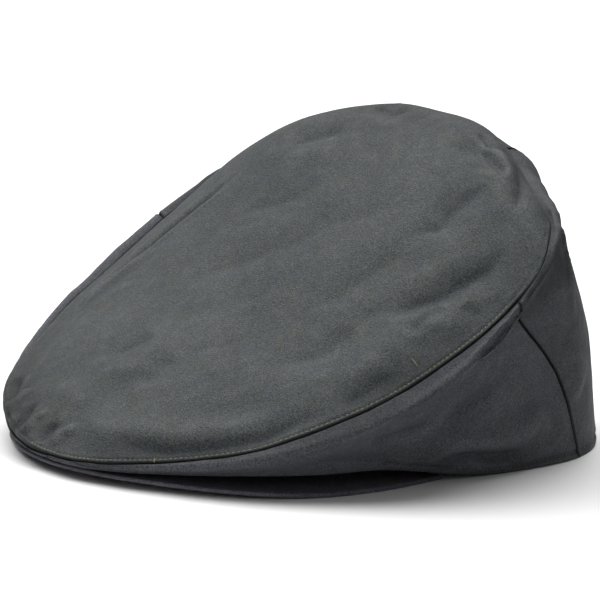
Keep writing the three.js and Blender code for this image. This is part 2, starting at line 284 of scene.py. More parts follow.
def midline_height(y):
    last = len(MIDLINE) - 1
    i = np.clip(np.searchsorted(MIDLINE[:, 0], y, side="right") - 1, 0, last - 1)
    t = np.clip((y - MIDLINE[i, 0]) / (MIDLINE[i + 1, 0] - MIDLINE[i, 0]), 0, 1)
    z = lambda k: MIDLINE[np.clip(i + k, 0, last), 1]
    return catmull_rom(z(-1), z(0), z(1), z(2), t)


def top_point(heading, s):
    """Outer face of the top: s from 0 at the crown's centre to 1 at the rim."""
    heading, s = np.broadcast_arrays(np.asarray(heading, float), np.asarray(s, float))
    rim = station(heading)[..., 0, :]
    x = CROWN_CENTRE[0] + (rim[..., 0] - CROWN_CENTRE[0]) * s
    y = CROWN_CENTRE[1] + (rim[..., 1] - CROWN_CENTRE[1]) * s
    half_width = np.interp(y, RIM_LINE[:, 1], RIM_LINE[:, 0])
    edge_z = np.interp(y, RIM_LINE[:, 1], RIM_LINE[:, 2])
    across = np.clip(np.abs(x) / np.maximum(half_width, 1e-6), 0, 1)
    z = edge_z + (midline_height(y) - edge_z) * (1 - across**CROWN_FULLNESS)
    points = np.stack([x, y, np.where(s >= 1, rim[..., 2], z)], axis=-1)
    return slumped(points)


def normal_of(surface, heading, across, step=0.01):
    along = surface(heading + 0.5, across) - surface(heading - 0.5, across)
    down = surface(heading, across + step) - surface(heading, across - step)
    return unit(np.cross(down, along))


def rim_normal(heading):
    return unit(normal_of(wall_point, heading, 0.01) + normal_of(top_point, heading, 0.99))


# Soft noise: a seeded lattice read smoothly in three dimensions
LATTICE_SEED = 7
LATTICE_SIZE = 32
LATTICE = np.random.default_rng(LATTICE_SEED).uniform(-1, 1, (LATTICE_SIZE,) * 3)


def noise(points, size, shift=0.0):
    q = points / size + shift
    base = np.floor(q).astype(int)
    f = q - base
    f = f * f * (3 - 2 * f)
    total = 0
    for corner in np.ndindex(2, 2, 2):
        index = (base + corner) % LATTICE_SIZE
        weight = np.prod(np.where(corner, f, 1 - f), axis=-1)
        total = total + weight * LATTICE[index[..., 0], index[..., 1], index[..., 2]]
    return total


# Folds, as lines traced on the photograph in its pixels
# width and height are in millimetres. A height below 0 is a valley, and lean raises the bank on one side.
SHELF_UNDERCUT = 1.7
WANDER = 0.6
WANDER_SIZE = 7
WANDER_SHIFTS = (2.1, 11.4, 21.8)
FOLD_SPACING = 2.0
FOLD_SAMPLES = 12
FOLD_LEAST_STEPS = 4
FOLD_REACH = 3.0
FOLD_TAPER = 0.3
VALLEY_SLOPE = 1.9
VALLEY_ROUND = 0.25
MIRROR = np.array([-1.0, 1.0, 1.0])
BANK = {"at": 1.9, "width": 0.9, "height": 0.22}


def fold(width, height, *path, lean=0.0, mirror=0.0, below=None, kind="crease"):
    below = width if below is None else below
    return dict(width=width, below=below, height=height, path=path, lean=lean, mirror=mirror, kind=kind)


TOP_FOLDS = {
    "shoulder_crease": fold(6, -1.7, (404, 234), (438, 227), (452, 212), (480, 190), (492, 181)),
    "main_crease": fold(6, -2.8, (378, 318), (402, 310), (425, 301), (445, 294), (465, 281), (485, 270),
        (497, 260), (512, 248), lean=0.4),
    "middle_crease": fold(9, -1.3, (310, 316), (340, 296), (360, 280), (388, 262), (412, 250)),
    "low_crease": fold(8, -1.6, (262, 368), (290, 362), (314, 356), (334, 344), (352, 327),
        (372, 312), (398, 302)),
    "high_crease": fold(9, -0.6, (275, 262), (310, 236), (335, 223), (370, 215), (405, 194)),
    "ridge_notch": fold(5, -1.9, (376, 105), (390, 111), (400, 110), (414, 105)),
    "ridge_wrinkle": fold(6, -1.2, (285, 147), (320, 137), (356, 130)),
    "back_dent": fold(6, -1.6, (458, 138), (470, 152), (484, 166), (496, 174)),
    "back_pocket": fold(3.2, -1.5, (482, 148), (493, 161), (506, 178)),
    "corner_crease": fold(2, -1.0, (478, 132), (487, 142), (496, 152)),
    "back_bank": fold(2.4, 1.5, (492, 146), (500, 158), (507, 170), (513, 183)),
    "back_hook": fold(4, -1.5, (513, 160), (521, 178), (520, 198), (511, 214)),
    "front_bank": fold(7, 1.6, (188, 312), (170, 327), (160, 341), (150, 357), (140, 367),
        (112, 372), (92, 376)),
    "front_bank_above": fold(6, -1.1, (158, 333), (140, 342), (120, 350), (102, 358)),
    "front_bank_below": fold(6, -1.1, (178, 354), (155, 372), (138, 387)),
    "long_wave": fold(9, -0.81, (180, 284), (215, 270), (250, 260), (275, 250), (320, 234)),
    "upper_wave": fold(8, -0.81, (235, 212), (275, 205), (300, 195), (322, 172)),
    "lower_wave": fold(7, -0.68, (180, 352), (217, 345), (250, 340)),
    "hollow_wave": fold(8, -0.81, (190, 420), (225, 415), (266, 408), (300, 396)),
    "seam_valley": fold(5, -2.0, (105, 433), (135, 445), (175, 452), (212, 447), (250, 442), (275, 432),
        (300, 422), (338, 408)),
    "seam_bank": fold(7, 1.6, (85, 405), (95, 417), (110, 430), (140, 432), (175, 440), (212, 435),
        (250, 427), (290, 416)),
    "toe_bank": fold(6, 1.0, (45, 396), (62, 392), (77, 400), (88, 408)),
    "toe_ridge_left": fold(2.4, 2.2, (30, 388), (25, 400), (18, 412), (11, 424)),
    "toe_valley_left": fold(2.8, -2.3, (20, 380), (15, 396), (8, 412)),
    "toe_valley_middle": fold(2.6, -2.3, (38, 402), (29, 414), (21, 428), (17, 438)),
    "toe_ridge_middle": fold(2.4, 2.2, (50, 410), (37, 424), (27, 440)),
    "toe_valley_right": fold(2.6, -1.9, (60, 420), (47, 434), (39, 446)),
    "toe_ridge_right": fold(2.6, 1.7, (80, 424), (62, 437), (52, 450)),
    "far_groove": fold(2.6, -2.3, (60, 326), (95, 291), (135, 256), (175, 224), (212, 194), (245, 168)),
    "far_bank_low": fold(5, 0.7, (137, 279), (112, 295), (93, 308)),
    "far_bank": fold(4, 1.8, (160, 246), (142, 258), (107, 286), (80, 312)),
    "near_nick": fold(4, -1.2, (462, 304), (475, 312), (482, 316)),
    "near_hook": fold(5, -1.7, (448, 305), (432, 312), (420, 325), (412, 338)),
    "near_wave": fold(6, -0.81, (452, 322), (425, 342), (406, 354)),
    "near_curl": fold(7, -0.81, (358, 322), (345, 342), (335, 358), (316, 378)),
    "near_swell": fold(10, 1.8, (330, 392), (372, 366), (408, 338), (438, 312), (462, 284)),
    "near_valley": fold(5, -1.4, (400, 372), (366, 393), (338, 407)),
}
WALL_FOLDS = {
    "rim_roll": fold(4.5, 1.5, (548, 262), (538, 281), (527, 296), (510, 319), (492, 341), (475, 361),
        (460, 376), (440, 391), (415, 407), (390, 420), (366, 430), mirror=0.4, below=3.0, kind="shelf"),
    "pleat": fold(3.5, -2.0, (365, 444), (390, 438), (410, 431), (425, 423), (436, 415), mirror=0.7),
    "long_bulge": fold(7, 3.0, (415, 453), (442, 447), (465, 442), (510, 432), (540, 421),
        (557, 406), mirror=0.8),
    "hem_valley": fold(3.2, -2.8, (430, 464), (448, 458), (470, 455), (500, 456), (530, 452), mirror=0.8),
    "side_wave": fold(6, -2.2, (437, 425), (462, 410), (486, 392), (505, 372), mirror=0.8),
    "low_wave": fold(6, -1.2, (300, 466), (340, 462), (380, 461), (412, 462), mirror=0.8),
    "back_ridge": fold(2.2, 1.4, (549, 198), (554, 222), (561, 236), (564, 250), (567, 274), (571, 292),
        (575, 310), (577, 335), mirror=0.8),
    "back_hollow": fold(6, -1.4, (559, 230), (566, 250), (572, 272), (580, 292), mirror=0.8),
    "back_bulge": fold(8, 1.3, (560, 345), (572, 368), (582, 396), mirror=0.8),
}


def pixel_ray(x, y):
    half = IMAGE_SIZE / 2
    ray = -CAMERA_BACK + (CAMERA_RIGHT * (x - half) + CAMERA_UP * (half - y)) / FOCAL_PIXELS
    return ray / np.linalg.norm(ray)


def surface_tree(grids):
    vertices, faces = [], []
    for grid in grids:
        rows, columns = grid.shape[:2]
        faces += grid_faces(rows, columns, len(vertices), turned=True)
        vertices += [tuple(p) for p in grid.reshape(-1, 3)]
    return BVHTree.FromPolygons(vertices, faces)


def cast(tree, path):
    """Where the camera sees each pixel of the path on the surface, or the nearest place on it."""
    places, normals = [], []
    for x, y in path:
        ray = pixel_ray(x, y)
        hit, normal, _, _ = tree.ray_cast(Vector(CAMERA_PLACE), Vector(ray))
        if hit is None:
            reach = np.dot(CAP_MIDDLE - CAMERA_PLACE, ray)
            hit, normal, _, _ = tree.find_nearest(Vector(CAMERA_PLACE + ray * reach))
        places.append(np.array(hit))
        normals.append(np.array(normal))
    return np.array(places), np.array(normals)


def resample(points):
    padded = np.vstack([2 * points[0] - points[1], points, 2 * points[-1] - points[-2]])
    t = np.linspace(0, 1, FOLD_SAMPLES, endpoint=False)[:, None]
    dense = [catmull_rom(*padded[i:i + 4], t) for i in range(len(points) - 1)]
    dense = np.vstack([*dense, points[-1:]])
    along = arc_lengths(dense)
    steps = max(int(along[-1] / FOLD_SPACING), FOLD_LEAST_STEPS)
    return read_along(np.linspace(0, along[-1], steps + 1), along, dense)


class Folds:
    """All folds as lines in space, and how far each moves the cloth at any point."""

    def __init__(self, tree):
        self.lines = []
        for table in (TOP_FOLDS, WALL_FOLDS):
            for entry in table.values():
                line = resample(cast(tree, entry["path"])[0])
                self.lines.append((line, entry["height"], entry))
                if entry["mirror"]:
                    self.lines.append((line * MIRROR, entry["height"] * entry["mirror"], entry))

    def __call__(self, points):
        total = np.zeros(len(points))
        wander = np.stack([noise(points, WANDER_SIZE, shift) for shift in WANDER_SHIFTS], axis=-1)
        points = points + WANDER * wander
        for line, height, entry in self.lines:
            width, lean = entry["width"], entry["lean"]
            reach = FOLD_REACH * max(width, entry["below"])
            near = np.all((points > line.min(axis=0) - reach) & (points < line.max(axis=0) + reach), axis=1)
            chosen = np.flatnonzero(near)
            if not len(chosen):
                continue
            start, step = line[:-1], np.diff(line, axis=0)
            offset = points[chosen, None] - start[None]
            share = np.clip(np.sum(offset * step, axis=2) / np.sum(step * step, axis=1), 0, 1)
            gap = offset - share[..., None] * step
            distance = np.linalg.norm(gap, axis=2)
            best = np.argmin(distance, axis=1)
            row = np.arange(len(chosen))
            along = (best + share[row, best]) / len(step)
            side = np.sign(gap[row, best, 2])
            q = distance[row, best] / np.where(side > 0, width, entry["below"])
            taper = smooth(along / FOLD_TAPER) * smooth((1 - along) / FOLD_TAPER)
            if entry["kind"] == "shelf":
                fallen = SHELF_UNDERCUT * q * np.exp(1 - q)
                shape = np.where(side > 0, np.exp(-q), np.exp(-2 * q) - fallen)
            elif height < 0:
                bank = BANK["height"] * (1 + lean * side) * bell(q, BANK["at"], BANK["width"])
                shape = np.exp(VALLEY_SLOPE * (VALLEY_ROUND - np.sqrt(q * q + VALLEY_ROUND**2))) - bank
            else:
                shape = np.exp(-q * q)
            total[chosen] += height * taper * shape
        return total


# Waves of the cloth: height, size and shift in the noise
CRUMPLE = [(0.55, 40, 0.0), (0.2, 17, 3.3), (0.07, 7, 9.1), (0.025, 3.2, 5.7)]
WALL_CRUMPLE = [(0.35, 13, 4.4)]
PUCKER = [(1.0, 4.2, 1.7), (0.6, 9.5, 6.1)]
PUCKER_START = 0.9
HEM_WAVES = [(0.3, 5.0, 8.8)]


def waves(rows, points):
    return sum(height * noise(points, size, shift) for height, size, shift in rows)


def groove(distance, radius, depth):
    """How deep the cloth rolls into a seam at this distance from it."""
    inside = np.clip(1 - distance / radius, 0, 1)
    return depth * (1 - np.sqrt(np.maximum(1 - inside * inside, 0)))


# Grids
SEAM_ROWS = np.array([0.0, 0.12, 0.3, 0.55, 0.85, 1.2, 1.6, 2.05, 2.6, 3.3, 4.2, 5.4, 7.0])


def arc_lengths(grid, axis=0):
    """How far each point is from the first one along its line."""
    step = np.linalg.norm(np.diff(grid, axis=axis), axis=-1)
    pad = [(0, 0)] * step.ndim
    pad[axis] = (1, 0)
    return np.pad(np.cumsum(step, axis=axis), pad)


RIM_DENSE = np.linspace(0, 360, RIM_SAMPLES_ROUND)
RIM_CURVE = slumped(station(RIM_DENSE)[:, 0, :])
RIM_ARC = arc_lengths(RIM_CURVE)


def rim_arc(heading):
    return np.interp(np.mod(heading, 360), RIM_DENSE, RIM_ARC)


def on_line(arc):
    """Places along a straight line, where the noise is read for a seam."""
    return np.stack([arc, 0 * arc, 0 * arc], axis=-1)


def pucker(arc, distance, reach, height):
    """Small gathers along a sewn line."""
    near = np.exp(-distance / reach) * (1 - np.exp(-distance / PUCKER_START))
    return height * waves(PUCKER, on_line(arc)) * near


TOP_PUCKER = {"reach": 5.0, "height": 0.3}
WALL_PUCKER = {"reach": 6.0, "height": 0.35}
RIM_GROOVE = {"radius": 1.0, "depth": 1.5}
SIDE_GROOVE = {"radius": 1.2, "depth": 1.0}
STITCH_LINE = 1.9
# Welts beside a seam: height, distance from it and width
TOP_WELTS = [(0.2, 1.0, 0.5), (-0.32, STITCH_LINE, 0.35), (0.06, 3.2, 0.9)]
SIDE_WELTS = [(0.25, 1.2, 0.6)]
HEM = {"band": 5, "fade": 2, "rise": 0.25, "stitches": 4.0, "width": 0.5, "depth": 0.5, "shade": 0.5,
       "waves_at": 6, "waves_width": 3}
FLOOR_CALM = {"from": 0.4, "height": 8}
FLOOR_CLEARANCE = 0.02
UNDERSIDE = -0.5
FOOT_EDGE = 1.5
# Painted shade on the back panels under the rolled rim: reach, fade and amount
SHOULDER_SHADE = {"reach": 26, "fade": 16, "amount": 0.42}
SIDE_SEAM_START = 9
TOPSTITCH_END = 96
TOPSTITCH_FADE = 10
ROLLED_BACK = 0.8
TOE = {"heading": -34, "spread": 24, "height": 3.6, "rise": 0.8, "reach": 8, "tuck": 2.0}
# Painted shade darkens the cloth along the rim (heading, spread, reach, fade, amount) and on the top's
# ridge (centre, reach along each axis, amount)
TOP_RIM_SHADE = [
    (-34, 24, 20, 15, 0.65),
    (28, 28, 18, 16, 0.36),
    (76, 18, 18, 16, 0.45),
]
WALL_RIM_SHADE = [(68, 26, 14, 9, 0.45)]
RIDGE_SHADE = [(-28, 30, 124, 60, 24, 18, 0.5)]
RINGS_NEAR_RIM = 24
FAR_FROM_RIM = 99.0
NORMAL_EASE = 3.5
BESIDE_RIM = (0.985, 0.99, 0.995)
RIM_TURN = 0.3
TOP_WEAVE_STRETCH = 1.25
HIDDEN_STITCHES = (-56, -14)
SEAM_SHADE_WIDTH = 0.95


def top_grid(around=500, rings=108):
    arcs = np.linspace(0, RIM_ARC[-1], around, endpoint=False)
    headings = np.interp(arcs, RIM_ARC, RIM_DENSE)
    inner, beside, outer = BESIDE_RIM
    inward = (top_point(headings, outer) - top_point(headings, inner)) / (outer - inner)
    along = unit(top_point(headings + RIM_TURN, beside) - top_point(headings - RIM_TURN, beside))
    square = np.linalg.norm(inward - np.sum(inward * along, axis=1, keepdims=True) * along, axis=1)
    near = 1 - (SEAM_INSET + SEAM_ROWS)[:, None] / square[None]
    share = np.linspace(1, 0, rings + 1)[1:-1, None]
    s = np.vstack([near, near[-1:] * share])
    grid = top_point(headings[None], s)
    normals = normal_of(top_point, headings[None], np.minimum(s, beside))
    closest = np.full(s.shape, FAR_FROM_RIM)
    for i in range(len(SEAM_ROWS) + RINGS_NEAR_RIM):
        gap = np.linalg.norm(grid[i][:, None] - RIM_CURVE[None, ::RIM_STRIDE], axis=2)
        closest[i] = gap.min(axis=1)
    ease = smooth(closest / NORMAL_EASE)[..., None]
    normals = unit(rim_normal(headings)[None] * (1 - ease) + normals * ease)
    return headings, grid, normals, closest, rim_arc(headings)[None] + 0 * s


def side_spacing(count, mean_width):
    ends = (SEAM_INSET + SEAM_ROWS) / mean_width
    middle = np.linspace(ends[-1], 1 - ends[-1], count - 2 * len(ends) + 2)
    return np.concatenate([ends, middle[1:-1], 1 - ends[::-1]])


CORNER = 1.8
CORNER_SHARE = 0.3
SEAM_SHARE = 0.35
EDGE_ROWS = 6
WALL_SAMPLES = 161
NORMALS_FROM = 0.01
NORMALS_TO = 0.985


def wall_grid(start, stop, columns, rows, mean_width):
    """Outer face of a wall panel, with its corner at the foot rounded."""
    u = side_spacing(columns, mean_width)

    def heading_at(v):
        swing = smooth((v - SEAM_SWING_FROM) / (SEAM_SWING_TO - SEAM_SWING_FROM))
        first = start[0] + (start[1] - start[0]) * swing
        last = stop[0] + (stop[1] - stop[0]) * swing
        return first * (1 - u[None]) + last * u[None]

    dense_v = np.linspace(0, 1, WALL_SAMPLES)[:, None]
    dense = wall_point(heading_at(dense_v), dense_v)
    length = arc_lengths(dense)
    whole = length[-1]
    corner = np.minimum(CORNER, CORNER_SHARE * whole)
    scale = np.minimum(1, SEAM_SHARE * whole / SEAM_ROWS[-1])
    near = (SEAM_INSET + SEAM_ROWS)[:, None] * scale[None]
    last = whole - corner
    share = np.linspace(0, 1, rows - len(SEAM_ROWS) - 2 * EDGE_ROWS)[1:, None]
    wanted = np.vstack([near, near[-1] + (last - near[-1]) * share])
    v = np.stack([np.interp(wanted[:, j], length[:, j], dense_v[:, 0]) for j in range(len(u))], axis=1)
    heading = heading_at(v)
    at_foot = heading_at(np.ones((1, 1)))
    upper = wall_point(heading, v)
    upper_normal = normal_of(wall_point, heading, np.clip(v, NORMALS_FROM, NORMALS_TO))
    foot = wall_point(at_foot, 1.0)
    end = wall_point(at_foot, 2.0)
    under_length = np.linalg.norm(end - foot, axis=-1)
    into = (end - foot) / under_length[..., None]
    turn = foot + into * np.minimum(corner, 0.5 * under_length)[..., None]
    t = np.linspace(0, 1, EDGE_ROWS + 1)[1:, None, None]
    bend = (1 - t) ** 2 * upper[-1:] + 2 * t * (1 - t) * foot + t**2 * turn
    under = turn + (end - turn) * t
    along = unit(np.gradient(foot[0], axis=0))[None]
    under_normal = unit(np.cross(into, along))
    under_normal *= np.sign(np.sum(under_normal * (0, 0, -1), axis=-1, keepdims=True))
    bend_normal = unit(upper_normal[-1:] * (1 - smooth(t)) + under_normal * smooth(t))
    grid = np.concatenate([upper, bend, under])
    normals = np.concatenate([upper_normal, bend_normal, np.repeat(under_normal, EDGE_ROWS, axis=0)])
    from_rim = np.concatenate([wanted, np.repeat(whole[None], 2 * EDGE_ROWS, axis=0)])
    ease = smooth(from_rim / NORMAL_EASE)[..., None]
    normals = unit(rim_normal(heading[:1]) * (1 - ease) + normals * ease)
    arc = arc_lengths(grid, 1)
    down = arc_lengths(grid)
    headings = np.concatenate([heading, np.repeat(at_foot, 2 * EDGE_ROWS, axis=0)])
    from_side = np.minimum(arc, arc[:, -1:] - arc)
    from_foot = np.abs(whole[None] - down)
    return dict(grid=grid, normals=normals, from_rim=from_rim, from_side=from_side, from_foot=from_foot,
                arc=arc, down=down, rim_arc=rim_arc(headings), heading=headings)


# Meshes
RELIEF_REACH = 3


def linked(name, data):
    obj = bpy.data.objects.new(name, data)
    bpy.context.scene.collection.objects.link(obj)
    return obj


def mesh_object(name, vertices, faces, uv=None, **values):
    """A smooth mesh. The values are those of its first vertices, the outer face, and 0 elsewhere."""
    mesh = bpy.data.meshes.new(name)
    metres = (np.asarray(vertices) + ORIGIN_SHIFT) * MM
    mesh.from_pydata(metres.tolist(), [], faces)
    mesh.polygons.foreach_set("use_smooth", [True] * len(mesh.polygons))
    if uv is not None:
        layer = mesh.uv_layers.new(name="cloth")
        loops = np.empty(len(mesh.loops), int)
        mesh.loops.foreach_get("vertex_index", loops)
        layer.data.foreach_set("uv", (np.asarray(uv)[loops] * MM).ravel())
    for key, numbers in values.items():
        padded = np.zeros(len(vertices))
        padded[:numbers.size] = numbers.ravel()
        mesh.attributes.new(key, "FLOAT", "POINT").data.foreach_set("value", padded)
    mesh.update()
    return linked(name, mesh)


def grid_faces(rows, columns, start=0, closed=False, turned=False):
    faces = []
    for i in range(rows - 1):
        for j in range(columns if closed else columns - 1):
            k = (j + 1) % columns
            a, b = start + i * columns + j, start + i * columns + k
            c, d = b + columns, a + columns
            faces.append((a, b, c, d) if turned else (a, d, c, b))
    return faces


def relief_of(grid, normals, closed):
    """Height of each point over its neighbours a few rows away, to colour worn ridges and paint shade into
    creases.
    """
    steps = RELIEF_REACH
    rows, columns = (np.arange(count) for count in grid.shape[:2])
    if closed:
        sideways = (np.roll(grid, steps, axis=1) + np.roll(grid, -steps, axis=1)) / 2
    else:
        before, after = np.maximum(columns - steps, 0), np.minimum(columns + steps, columns[-1])
        sideways = (grid[:, before] + grid[:, after]) / 2
    endways = (grid[np.maximum(rows - steps, 0)] + grid[np.minimum(rows + steps, rows[-1])]) / 2
    return np.sum((grid - (sideways + endways) / 2) * normals, axis=-1)


def welts(rows, distance):
    return sum(height * bell(distance, middle, width) for height, middle, width in rows)


def seam_shade(distance):
    """How dark the cloth is painted where it goes down into a seam, from 0 to 1: painted shade in the
    groove.
    """
    return bell(distance, 0, SEAM_SHADE_WIDTH)


def sewn(heading):
    """1 where the rim is topstitched, and less where the back's cloth rolls over it."""
    return 1 - ROLLED_BACK * smooth((np.abs(wrap(heading)) - TOPSTITCH_END) / TOPSTITCH_FADE)


def toe_share(heading):
    return bell(wrap(heading), TOE["heading"], TOE["spread"])


def rim_painted_shade(rows, headings, distance):
    """How dark the painted shade makes the cloth along the rim, from 0 to 1."""
    dark = 0 * distance
    for middle, spread, reach, fade, amount in rows:
        share = bell(wrap(headings), middle, spread)
        dark = np.maximum(dark, amount * share * smooth((reach - distance) / fade))
    return dark


# How dark the painted shade makes the top's ridge, from 0 to 1
def ridge_painted_shade(points):
    dark = 0 * points[..., 0]
    for *place, amount in RIDGE_SHADE:
        dark = np.maximum(dark, amount * swelling(points, place))
    return dark


def toe_puff(heading, distance):
    """The top's cloth swells over its seam at the front, most of all right of the middle."""
    rise = (1 - np.exp(-distance / TOE["rise"])) * bell(distance, 0, TOE["reach"])
    return TOE["height"] * toe_share(heading) * rise


def toe_tuck(heading, distance):
    """The wall goes in under that swelling."""
    return TOE["tuck"] * toe_share(heading) * (1 - np.exp(-distance / TOE["rise"]))


def build_top(folds):
    headings, grid, normals, closest, arc = TOP
    flat = grid.reshape(-1, 3)
    lift = (folds(flat) + waves(CRUMPLE, flat)).reshape(closest.shape)
    near = closest < FAR_FROM_RIM
    d = np.where(near, closest, 0)
    seam = (welts(TOP_WELTS, d) - groove(d, **RIM_GROOVE)) * sewn(headings)
    seam = seam + pucker(arc, d, **TOP_PUCKER) + toe_puff(headings, d)
    outer = grid + normals * (lift + np.where(near, seam, 0))[..., None]
    rings, around = closest.shape
    kept = [*range(0, rings - 1, 2), rings - 1]
    inner = (outer - normals * CLOTH_THICKNESS)[kept]
    centre = outer[-1].mean(axis=0)
    inner_centre = centre - unit(normals[-1].mean(axis=0)) * CLOTH_THICKNESS
    vertices = np.vstack([outer.reshape(-1, 3), inner.reshape(-1, 3), [centre, inner_centre]])
    size = rings * around
    total = size + len(kept) * around
    faces = grid_faces(rings, around, 0, True, turned=True)
    faces += grid_faces(len(kept), around, size, True, turned=False)
    for j in range(around):
        k = (j + 1) % around
        faces.append((j, size + j, size + k, k))
        faces.append((size - around + j, size - around + k, total))
        faces.append((total - around + k, total - around + j, total + 1))
    uv = np.stack([vertices[:, 0], vertices[:, 1] * TOP_WEAVE_STRETCH], axis=1)
    # Painted shade, kept in the seam attribute: in the rim's seam, along the rim and on the ridge
    shade = np.maximum(seam_shade(closest) * sewn(headings), rim_painted_shade(TOP_RIM_SHADE, headings, closest))
    shade = np.maximum(shade, ridge_painted_shade(grid))
    relief = relief_of(outer, normals, closed=True)
    return mesh_object("top_panel", vertices, faces, uv, relief=relief, seam=shade)


def build_wall(name, part, folds):
    grid, normals, arc, heading = part["grid"], part["normals"], part["arc"], part["heading"]
    from_rim, from_side, from_foot = part["from_rim"], part["from_side"], part["from_foot"]
    shape = from_rim.shape
    flat = grid.reshape(-1, 3)
    lift = (folds(flat) + waves(CRUMPLE, flat) + waves(WALL_CRUMPLE, flat)).reshape(shape)
    calm = smooth(FLOOR_CALM["from"] + grid[..., 2] / FLOOR_CALM["height"])
    lift = lift * smooth(from_foot / HEM["band"]) * calm
    stitched = sewn(heading)
    seam = pucker(part["rim_arc"], from_rim, **WALL_PUCKER) * stitched
    seam = seam - groove(from_rim, **RIM_GROOVE) * stitched - toe_tuck(heading, from_rim)
    sides = -groove(from_side, **SIDE_GROOVE) + welts(SIDE_WELTS, from_side)
    sides = sides * smooth(from_rim / SIDE_SEAM_START) * smooth(from_foot / FOOT_EDGE)
    shown = normals[..., 2] > UNDERSIDE
    band = smooth(from_foot) * smooth((HEM["band"] - from_foot) / HEM["fade"])
    hem_line = bell(from_foot, HEM["stitches"], HEM["width"]) * shown
    hem = -HEM["depth"] * hem_line + HEM["rise"] * band
    hem = hem + waves(HEM_WAVES, on_line(arc)) * bell(from_foot, HEM["waves_at"], HEM["waves_width"])
    lift = lift + seam + sides + np.where(shown, hem, 0)
    outer = grid + normals * lift[..., None]
    outer[..., 2] = np.maximum(outer[..., 2], FLOOR_CLEARANCE)
    inner = outer - normals * CLOTH_THICKNESS
    rows, columns = shape
    size = rows * columns
    vertices = np.vstack([outer.reshape(-1, 3), inner.reshape(-1, 3)])
    faces = grid_faces(rows, columns, 0) + grid_faces(rows, columns, size, turned=True)
    for j in range(columns - 1):
        a = (rows - 1) * columns + j
        faces.append((j, j + 1, size + j + 1, size + j))
        faces.append((a + 1, a, size + a, size + a + 1))
    for i in range(rows - 1):
        a, b = i * columns, (i + 1) * columns
        faces.append((b, a, size + a, size + b))
        a, b = a + columns - 1, b + columns - 1
        faces.append((a, b, size + b, size + a))
    uv = np.stack([arc, part["down"]], axis=-1).reshape(-1, 2)
    uv = np.vstack([uv, uv])
    # Painted shade, kept in the seam attribute: in the rim's and side seams, under the rolled rim at the
    # back, along the near rim and at the hem line
    shade = np.maximum(seam_shade(from_rim) * stitched, seam_shade(from_side))
    shoulder_shade = (1 - stitched) * smooth((SHOULDER_SHADE["reach"] - from_rim) / SHOULDER_SHADE["fade"])
    shade = np.maximum(shade, SHOULDER_SHADE["amount"] * shoulder_shade)
    shade = np.maximum(shade, rim_painted_shade(WALL_RIM_SHADE, heading, from_rim))
    shade = np.maximum(shade, HEM["shade"] * hem_line)
    relief = relief_of(outer, normals, closed=False)
    return mesh_object(name, vertices, faces, uv, relief=relief, seam=shade)


def peak_ends(along):
    place = np.abs(along) * PEAK_EDGE.last
    outer = PEAK_EDGE.at(place, "x y z")
    outer[..., 0] *= np.sign(along)
    outer[..., 2] = np.maximum(outer[..., 2], 0)
    angle = np.radians(along * PEAK_INNER["last_angle"])
    inner = np.stack([
        PEAK_INNER["half_width"] * np.sin(angle),
        PEAK_INNER["centre_y"] - PEAK_INNER["half_length"] * np.cos(angle),
        PEAK_INNER["arch"] * (1 - along * along),
    ], axis=-1)
    return inner, outer


def build_peak(along_steps=320, across_steps=22, edge_steps=6):
    along = np.linspace(-1, 1, along_steps + 1)
    inner, outer = peak_ends(along)
    across = unit((outer - inner) * (1, 1, 0))
    up = np.array([0.0, 0.0, 1.0])
    radius = PEAK_THICKNESS / 2
    width = np.linalg.norm((outer - inner)[:, :2], axis=1)
    tip = np.minimum(radius, PEAK_TIP_SHARE * width)[:, None]

    def face(shares, rise):
        return [inner + (outer - inner) * share + across * tip * (1 - 2 * share) + rise for share in shares]

    def rounded(edge, sign):
        into, rise = sign * across * tip, sign * up * radius
        turns = np.linspace(0, math.pi, edge_steps + 2)[1:-1]
        return [edge - into + up * radius + into * math.sin(turn) - rise * math.cos(turn) for turn in turns]

    loop = face(np.linspace(0, 1, across_steps), 0) + rounded(outer, 1)
    loop += face(np.linspace(1, 0, across_steps), up * PEAK_THICKNESS) + rounded(inner, -1)
    grid = np.stack(loop, axis=1)
    rows, columns = grid.shape[:2]
    faces = grid_faces(rows, columns, 0, True)
    faces.append(tuple(range(columns)))
    faces.append(tuple(reversed(range((rows - 1) * columns, rows * columns))))
    vertices = grid.reshape(-1, 3)
    uv = vertices[:, :2]
    return mesh_object("peak_board", vertices, faces, uv)


# Stitches
THREAD_SIDES = 6
THREAD_RINGS = 5
THREAD_TIP = 0.02
THREAD_SAG = 0.44
THREAD_FLATNESS = 0.7
STITCH_LIFT = 0.05
STITCH_AIM = 0.3
CAST_FROM = 1.5
CAST_LIMIT = 0.006


def stitch_mesh(name, places, normals, directions, length, width, lift=STITCH_LIFT):
    around, rings = THREAD_SIDES, THREAD_RINGS
    vertices, faces = [], []
    for place, normal, direction in zip(places, normals, directions):
        direction = unit(direction - normal * np.dot(direction, normal))
        side = np.cross(normal, direction)
        start = len(vertices)
        for r in range(rings):
            t = -1 + 2 * r / (rings - 1)
            radius = width / 2 * math.sqrt(max(1 - t**4, THREAD_TIP))
            drop = -THREAD_SAG * width * t * t
            for a in range(around):
                angle = 2 * math.pi * a / around
                rise = radius * THREAD_FLATNESS * math.sin(angle) + drop + lift
                offset = side * radius * math.cos(angle) + normal * rise
                vertices.append(place + direction * (length / 2) * t + offset)
        faces += grid_faces(rings, around, start, closed=True, turned=True)
        faces.append(tuple(start + a for a in reversed(range(around))))
        faces.append(tuple(start + (rings - 1) * around + a for a in range(around)))
    return mesh_object(name, vertices, faces)


def object_tree(obj):
    vertices = [v.co.copy() for v in obj.data.vertices]
    faces = [tuple(p.vertices) for p in obj.data.polygons]
    return BVHTree.FromPolygons(vertices, faces)


